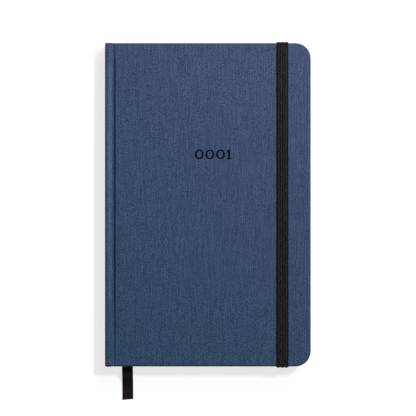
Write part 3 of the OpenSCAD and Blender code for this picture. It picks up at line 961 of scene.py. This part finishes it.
def paper_grid(name, columns, rows, height, corner_r, fore, head):
    """A sheet over the columns and rows, with round corners at the fore edge, facing down."""
    points = []
    yc = head - corner_r
    for x in columns:
        for y in rows:
            past = max(0.0, abs(y) - yc)
            end = fore - corner_r + math.sqrt(max(0.0, corner_r ** 2 - past ** 2))
            hold = fore - corner_r - 2
            px = x if x <= hold else hold + (x - hold) * (end - hold) / (fore - hold)
            points.append([px, y, height(px, y)])
    span = len(rows)
    faces = [(i * span + j, i * span + j + 1, (i + 1) * span + j + 1, (i + 1) * span + j)
             for i in range(len(columns) - 1) for j in range(span - 1)]
    return points, faces


def leaf_rows(head, corner_r, extra=()):
    arc = [head - corner_r + corner_r * math.sin(math.radians(a)) for a in range(0, 91, 10)]
    half = merged(spread(0, head - corner_r, 8)[:-1] + arc, 0.02)
    return merged([-y for y in half] + half + list(extra), 0.02)


LEAF_FORE = PAGE_HIGH[0]
LEAF_HEAD = PAGE_HIGH[1]
LEAF_CORNER = 6.35
PAPER_T = 0.1
CREASE_X = box_mm("front_flyleaf")[0][0] - 0.3


def paper_object(name, columns, height, flipped, thickness=PAPER_T, extra=(), corner_r=LEAF_CORNER):
    rows = leaf_rows(LEAF_HEAD, corner_r, extra)
    points, faces = paper_grid(name, columns, rows, height, corner_r, LEAF_FORE, LEAF_HEAD)
    points = np.array(points)
    if flipped:
        points[:, 2] = TOP - points[:, 2]
        faces = [f[::-1] for f in faces]
    return thicken(add_object(name, points, faces), thickness)


def pastedown(name, flipped):
    """Over the turned-in linen round the edges, stepping down onto the board inside it."""
    def height(x, y):
        outside = max(x - WINDOW_X, abs(y) - WINDOW_Y)
        step = float(ease(outside / 0.9 + 0.5))
        pucker = 0.02 * math.sin(x / 11 + 1) * math.sin(y / 17)
        return TOP - (COVER_T + 0.12 - 0.35 + 0.35 * step) + pucker * (1 - step)
    columns = merged([BOARD_EDGE + 0.35] + spread(BOARD_EDGE + 3, LEAF_FORE - 8.4, 6)
                     + spread(WINDOW_X - 1, WINDOW_X + 1, 0.2) + spread(LEAF_FORE - 8.35, LEAF_FORE, 1.5), 0.05)
    steps = [s * y for s in (-1, 1) for y in spread(WINDOW_Y - 1, WINDOW_Y + 1, 0.2)]
    return paper_object(name, columns, height, flipped, extra=steps)


for side, flipped in (("front", False), ("back", True)):
    cover = side + "_cover"
    place(pastedown(side + "_pasted_endpaper", flipped), ENDPAPER, "endpaper", cover, [side + "_pastedown"])
    # the endpaper crosses the joint between the block's shoulder and the cover
    low = BACK + 3.85
    gutter = paper_object(side + "_gutter_paper", spread(low, BOARD_EDGE + 0.7, 0.25),
                          lambda x, y: TOP - 3.2 + 0.05 * float(ease((x - BOARD_EDGE + 1) / 1.5)), flipped, 0.06)
    place(gutter, ENDPAPER, "endpaper")
    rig.blend(gutter, "text_block", cover, start=(low * MM, 0, 0), end=((BOARD_EDGE + 0.1) * MM, 0, 0))

fly_columns = spread(CREASE_X - 0.3, CREASE_X + 3, 0.25) + spread(CREASE_X + 8, LEAF_FORE - 8.5, 10)
fly_columns += spread(LEAF_FORE - 8.35, LEAF_FORE, 1.5)
fly_z = box_mm("front_flyleaf")[0][2] + 0.01
for side, flipped in (("front", False), ("back", True)):
    leaf = paper_object(side + "_flyleaf_paper", fly_columns, lambda x, y: fly_z, flipped)
    place(leaf, ENDPAPER, "endpaper", stands_for=[side + "_flyleaf"])
    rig.blend(leaf, "text_block", side + "_leaf", start=((CREASE_X - 0.2) * MM, 0, 0), end=((CREASE_X + 2.4) * MM, 0, 0))


# ---------------------------------------------------------------- sections of folded sheets

SHEETS_EACH = 4


def folded_sheet(fold_x, z_mid, gap, thickness, fore, head):
    """One sheet folded round the ones inside it: two leaves gap apart at their middles, joined by a round fold.
    Returns points and faces of a closed solid."""
    radius = gap / 2
    fold_centre = fold_x + radius + thickness / 2
    path, normals = [], []
    flat = [fore] + [fore - LEAF_CORNER * (1 - math.cos(math.radians(a))) for a in range(10, 91, 16)]
    flat = sorted(set(flat + [fore - LEAF_CORNER - 30, fold_centre + 25]), reverse=True)
    for x in flat:
        path.append((x, z_mid + radius))
        normals.append((0.0, 1.0))
    turns = 8
    for k in range(turns + 1):
        a = math.pi / 2 + math.pi * k / turns
        path.append((fold_centre + radius * math.cos(a), z_mid + radius * math.sin(a)))
        normals.append((math.cos(a), math.sin(a)))
    for x in flat[::-1]:
        path.append((x, z_mid - radius))
        normals.append((0.0, -1.0))
    points = []
    for (x, z), (nx, nz) in zip(path, normals):
        past = max(0.0, x - (fore - LEAF_CORNER))
        reach = head - LEAF_CORNER + math.sqrt(max(0.0, LEAF_CORNER ** 2 - past ** 2))
        for s, t in ((-1, 1), (1, 1), (1, -1), (-1, -1)):
            points.append([x + nx * t * thickness / 2, s * reach, z + nz * t * thickness / 2])
    faces = [(0, 1, 2, 3)]
    for k in range(len(path) - 1):
        a, b = 4 * k, 4 * (k + 1)
        faces += [(a + i, b + i, b + (i + 1) % 4, a + (i + 1) % 4) for i in range(4)]
    end = 4 * (len(path) - 1)
    faces.append((end + 3, end + 2, end + 1, end))
    return points, faces


def section(node):
    low, high = box_mm(node)
    z_mid, sheet_t = (low[2] + high[2]) / 2, (high[2] - low[2]) / (2 * SHEETS_EACH)
    points, faces = [], []
    for k in range(SHEETS_EACH):
        fore = high[0] - random.uniform(0, 0.12) - 0.03 * k
        head = high[1] - random.uniform(0, 0.08)
        gap = sheet_t * (2 * k + 1)
        fold = low[0] + sheet_t * (SHEETS_EACH - 1 - k)
        p, f = folded_sheet(fold, z_mid, gap, sheet_t * 0.86, fore, head)
        shift = random.uniform(-0.05, 0.05)
        faces += [tuple(i + len(points) for i in face) for face in f]
        points += [[x, y + shift, z] for x, y, z in p]
    obj = add_object(node + "_sheets", points, faces)
    bm = bmesh.new()
    bm.from_mesh(obj.data)
    bmesh.ops.recalc_face_normals(bm, faces=bm.faces)
    bm.to_mesh(obj.data)
    bm.free()
    return tidy(obj, 35)


for number in range(1, 13):
    node = f"signature_{number:02d}"
    place(section(node), PAGES, "page_paper", "text_block", [node])


# ---------------------------------------------------------------- head and tail bands

def end_band(name, node, flipped):
    """A striped bead over the end of the folds, with its tab glued to the spine."""
    low, high = box_mm(node)
    bead_r = 0.85
    cx = low[0] + bead_r
    cy = (low[1] + bead_r) if flipped else (high[1] - bead_r)
    count, around = 78, 14
    points, faces = [], []
    for k in range(count + 1):
        z = low[2] + (high[2] - low[2]) * k / count
        wrap = 0.88 + 0.12 * abs(math.sin(math.pi * (z - low[2]) / 0.4))
        for a in range(around):
            t = 2 * math.pi * a / around
            points.append([cx + bead_r * wrap * math.cos(t), cy + bead_r * wrap * math.sin(t), z])
    for k in range(count):
        for a in range(around):
            b = (a + 1) % around
            faces.append((k * around + a, k * around + b, (k + 1) * around + b, (k + 1) * around + a))
    faces.append(tuple(range(around - 1, -1, -1)))
    faces.append(tuple(count * around + a for a in range(around)))
    tab = len(points)
    y0, y1 = (low[1] + bead_r, high[1]) if flipped else (low[1], high[1] - bead_r)
    for z in (low[2], high[2]):
        points += [[low[0], y0, z], [low[0] + 0.15, y0, z], [low[0] + 0.15, y1, z], [low[0], y1, z]]
    faces += [(tab + 3, tab + 2, tab + 1, tab), (tab + 4, tab + 5, tab + 6, tab + 7)]
    faces += [(tab + i, tab + (i + 1) % 4, tab + 4 + (i + 1) % 4, tab + 4 + i) for i in range(4)]
    return tidy(add_object(name, points, faces), 50)


place(end_band("head_band_wraps", "head_band", False), BAND, "band_cotton", "text_block", ["head_band"])
place(end_band("tail_band_wraps", "tail_band", True), BAND, "band_cotton", "text_block", ["tail_band"])


# ---------------------------------------------------------------- straps and ribbon: a section swept along a line

def swept(name, line, section_at, closed_section=True):
    """line holds (centre, side, up) at each step, and section_at(k) gives (across, off) pairs in mm."""
    points, uv, faces, run = [], [], [], 0.0
    for k, (centre, side, up) in enumerate(line):
        if k:
            run += float(np.linalg.norm(np.array(centre) - np.array(line[k - 1][0])))
        shape = section_at(k, run)
        for across, off in shape:
            points.append(np.array(centre) + np.array(side) * across + np.array(up) * off)
            uv.append([across, run])
    size = len(shape)
    for k in range(len(line) - 1):
        for a in range(size):
            b = (a + 1) % size
            faces.append((k * size + a, k * size + b, (k + 1) * size + b, (k + 1) * size + a))
    faces.append(tuple(range(size - 1, -1, -1)))
    faces.append(tuple((len(line) - 1) * size + a for a in range(size)))
    obj = add_object(name, points, faces, uv)
    bm = bmesh.new()
    bm.from_mesh(obj.data)
    bmesh.ops.recalc_face_normals(bm, faces=bm.faces)
    bm.to_mesh(obj.data)
    bm.free()
    return obj


def line_through(corners, radii, step):
    """Points along a polyline in the plane of y and z, with round corners, each with its direction."""
    pts, dirs = [], []

    def run(a, b):
        d = (b - a) / np.linalg.norm(b - a)
        for t in np.linspace(0, 1, max(2, int(np.linalg.norm(b - a) / step) + 1)):
            pts.append(a + (b - a) * t)
            dirs.append(d)

    corners = [np.array(c, float) for c in corners]
    at = corners[0]
    for k in range(1, len(corners) - 1):
        c, r = corners[k], radii[k - 1]
        d0 = (c - corners[k - 1]) / np.linalg.norm(c - corners[k - 1])
        d1 = (corners[k + 1] - c) / np.linalg.norm(corners[k + 1] - c)
        run(at, c - d0 * r)
        centre = c - d0 * r + d1 * r
        for a in np.linspace(0, math.pi / 2, 11)[1:-1]:
            pts.append(centre - d1 * r * math.cos(a) + d0 * r * math.sin(a))
            dirs.append(d0 * math.cos(a) + d1 * math.sin(a))
        at = c + d1 * r
    run(at, corners[-1])
    return pts, dirs


def elastic_section(width, thickness, run, gather):
    """Rounded ribs side by side on both faces, each a little uneven along the strap."""
    upper, steps = [], RIBS * 8
    for k in range(steps + 1):
        share = 2 * k / steps - 1
        rib = abs(math.cos(math.pi * k / 8))
        knit = 0.07 * math.sin(run * 5.1 + 2.4 * round(k / 8) + math.sin(run * 0.9 + k))
        edge = math.sqrt(max(0.0, 1 - abs(share) ** 5))
        sway = 0.09 * math.sin(run * 2.1 + share) * share ** 4 + 0.05 * math.sin(run * 0.31)
        off = (thickness / 2) * (0.55 + 0.4 * rib + knit) * (0.3 + 0.7 * edge)
        lobe = GATHER * gather * (math.sqrt(abs(math.cos(1.5 * math.pi * share))) - 1)
        upper.append((share * width / 2 + sway, off, off + lobe))
    return [(a, out) for a, _, out in upper] + [(a, -h) for a, h, _ in upper[::-1]]


GATHER = 0.55
STRAP_TAPER = 0.045
STRAP_T = STRAP_HIGH[2] - TOP - 0.05
LEG_Y = HEAD + 0.05 + STRAP_T / 2
STRAND_Z = TOP + 0.05 + STRAP_T / 2


def elastic_piece(name, corners, radii, width, thickness, step=0.45):
    pts, dirs = line_through(corners, radii, step)
    line = [((STRAP_X, p[0], p[1]), (1, 0, 0), (0, -d[1], d[0])) for p, d in zip(pts, dirs)]


    def shape(k, run):
        y, z = pts[k]
        gather = float(ease((z - 8) / 4) * ease((TOP + 0.6 - z) / 0.8))
        narrower = 1 - STRAP_TAPER * (y + HEAD) / (2 * HEAD)
        return elastic_section(width * narrower, thickness, run, gather)

    return tidy(swept(name, line, shape), 70)


leg_foot = STRAP_LOW[2]
strap = elastic_piece(
    "elastic_strap",
    [(-LEG_Y, leg_foot), (-LEG_Y, STRAND_Z), (LEG_Y, STRAND_Z), (LEG_Y, leg_foot)],
    [1.0, 1.0], STRAP_W, STRAP_T)
place(strap, ELASTIC, "elastic", "strap", ["elastic_band"])
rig.squash(strap, "strap_release", axis=(0, 0, 1), anchor=(STRAP_X * MM, 0, (TOP + 0.05) * MM), keep=0.05)

anchor_low = box_mm("elastic_anchor_head")[0]
for end, sign in (("head", 1), ("tail", -1)):
    low_z = 0.05 + STRAP_T / 2
    turn_y = SLOT_Y + STRAP_T / 2
    glued = elastic_piece(
        f"elastic_end_{end}",
        [(sign * LEG_Y, leg_foot), (sign * LEG_Y, low_z), (sign * turn_y, low_z), (sign * turn_y, 2.35),
         (sign * anchor_low[1], 2.35)],
        [0.43, 0.43, 0.3], STRAP_W - 0.1, STRAP_T * 0.7, 1.0)
    place(glued, ELASTIC, "elastic", "back_cover", [f"elastic_anchor_{end}"])


# The ribbon: flat between the middle sections, over the tail, and down onto the table
RIBBON_X = -52.3
RIBBON_SHIFT = -6.0
RIBBON_W = 7.1
RIBBON_T = 0.2
RIBBON_OUT = 22.4
DROP_R = 14.0
ribbon_z = TOP / 2
drop = ribbon_z - RIBBON_T / 2
drop_run = 2 * math.sqrt(DROP_R * drop - drop * drop / 4)
drop_angle = math.acos(1 - drop / (2 * DROP_R))


def ribbon_line():
    """(point, slope angle) from the head of the block to the cut end on the table."""
    found = []
    for y in np.linspace(LEAF_HEAD + 0.6, -LEAF_HEAD, 40):
        found.append((RIBBON_X + RIBBON_SHIFT * float(ease(y / LEAF_HEAD)), y, ribbon_z, 0.0))
    for a in np.linspace(0, drop_angle, 12)[1:]:
        found.append((RIBBON_X, -LEAF_HEAD - DROP_R * math.sin(a), ribbon_z - DROP_R * (1 - math.cos(a)), a))
    for a in np.linspace(drop_angle, 0, 12)[1:]:
        found.append((RIBBON_X, -LEAF_HEAD - drop_run + DROP_R * math.sin(a),
                      RIBBON_T / 2 + DROP_R * (1 - math.cos(a)), a))
    for y in np.linspace(-LEAF_HEAD - drop_run, -HEAD - RIBBON_OUT, 6)[1:]:
        found.append((RIBBON_X, y, RIBBON_T / 2, 0.0))
    return found


def ribbon():
    route = ribbon_line()
    line = [((x, y, z), (1, 0, 0), (0, math.sin(a), math.cos(a))) for x, y, z, a in route]
    total = len(line)

    def shape(k, run):
        flare = 0.02 * max(0, k - (total - 6)) / 5
        cup = 0.05 if k < 40 else 0.12
        upper = []
        for s in range(13):
            share = s / 12 - 0.5
            across = share * RIBBON_W * (1 + flare * (share > 0))
            thick = RIBBON_T / 2 * (1.25 if abs(share) > 0.45 else 0.8)
            upper.append((across, thick, cup * (2 * share) ** 2 * (0 if k < 40 or k > total - 4 else 1)))
        top = [(a, c + h) for a, h, c in upper]
        under = [(a, c - h) for a, h, c in upper[::-1]]
        return top + under

    obj = swept("ribbon", line, shape)
    # the end is cut on a slant, longer on the spine side
    for v in obj.data.vertices:
        past = -(HEAD + RIBBON_OUT - 1.5) - v.co.y / MM
        if past > 0:
            v.co.y -= past / 1.5 * (RIBBON_X - v.co.x / MM) / RIBBON_W * 0.6 * MM
    path = [(x * MM, y * MM, z * MM) for x, y, z, _ in route]
    return tidy(obj, 60), path


ribbon_piece, ribbon_path = ribbon()
place(ribbon_piece, SATIN, "satin", "text_block", ["ribbon_marker"])
ribbon_length = sum((Vector(b) - Vector(a)).length for a, b in zip(ribbon_path, ribbon_path[1:]))
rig.cord(ribbon_piece, exit=ribbon_path[0], length=ribbon_length, diameter=RIBBON_W * MM, far_end="bare",
        stiffness="limp", lay="loose", path=ribbon_path)


# ---------------------------------------------------------------- CAD nodes that stay

for node, material, slot in (
    ("front_board", BOARD, "board"), ("back_board", BOARD, "board"), ("spine_board", BOARD, "board"),
    ("cover_stamp", INK, "stamp_ink"), ("front_endpaper_fold", ENDPAPER, "endpaper"),
    ("back_endpaper_fold", ENDPAPER, "endpaper"), ("sewing_thread", THREAD, "thread"),
    ("spine_mull", GAUZE, "gauze"), ("spine_lining", KRAFT, "kraft"),
):
    obj = frame["nodes"][node]
    obj.data.materials.clear()
    obj.data.materials.append(material)
    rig.slot(obj, slot)


# ---------------------------------------------------------------- floor, light and camera

def add_floor():
    mesh = bpy.data.meshes.new("floor")
    mesh.from_pydata([(-8, -8, 0), (8, -8, 0), (8, 8, 0), (-8, 8, 0)], [], [(0, 1, 2, 3)])
    floor = bpy.data.objects.new("floor", mesh)
    bpy.context.scene.collection.objects.link(floor)
    n = Nodes("pale_floor", 0.9, 0.0)
    cloud = n.noise(n.scaled(n.position(), (0.004, 0.004, 0.004)), 1, 2)
    n.colour(n.blend(cloud, (0.37, 0.37, 0.375, 1), (0.39, 0.39, 0.39, 1)))
    n.shader.inputs["Emission Color"].default_value = (1, 1, 1, 1)
    n.shader.inputs["Emission Strength"].default_value = 0.735
    floor.data.materials.append(n.material)
    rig.stage(floor)


def area_light(name, direction, distance, size, power, colour=(1, 1, 1)):
    data = bpy.data.lights.new(name, "AREA")
    data.shape = "DISK"
    data.size = size
    data.energy = power
    data.color = colour
    light = bpy.data.objects.new(name, data)
    light.location = Vector(direction).normalized() * distance
    light.rotation_euler = Vector(direction).to_track_quat("Z", "Y").to_euler()
    bpy.context.scene.collection.objects.link(light)


add_floor()
area_light("key", (0.47, 0.36, 1.0), 2.4, 0.26, 35.5, (1.0, 0.985, 0.97))
area_light("softbox", (0.20, 0.44, 0.42), 0.60, 0.45, 2.75)

world = bpy.data.worlds.new("studio")
world.use_nodes = True
world.node_tree.nodes["Background"].inputs["Color"].default_value = (0.97, 0.985, 1.0, 1)
world.node_tree.nodes["Background"].inputs["Strength"].default_value = 0.12
bpy.context.scene.world = world
bpy.context.scene.view_settings.view_transform = "Standard"

FRAME_W = 0.2694
CAMERA_HIGH = 2.0
camera_data = bpy.data.cameras.new("camera")
camera_data.lens = 36.0 * (CAMERA_HIGH - TOP * MM) / FRAME_W
camera_data.sensor_width = 36.0
camera = bpy.data.objects.new("camera", camera_data)
camera.location = (0.0001, -0.0021, CAMERA_HIGH)
bpy.context.scene.collection.objects.link(camera)
bpy.context.scene.camera = camera

visual_bounds = [list(corner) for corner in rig.bounds()]
with open("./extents.json", "w") as out:
    json.dump({"cad": cad_bounds, "visual": visual_bounds}, out)
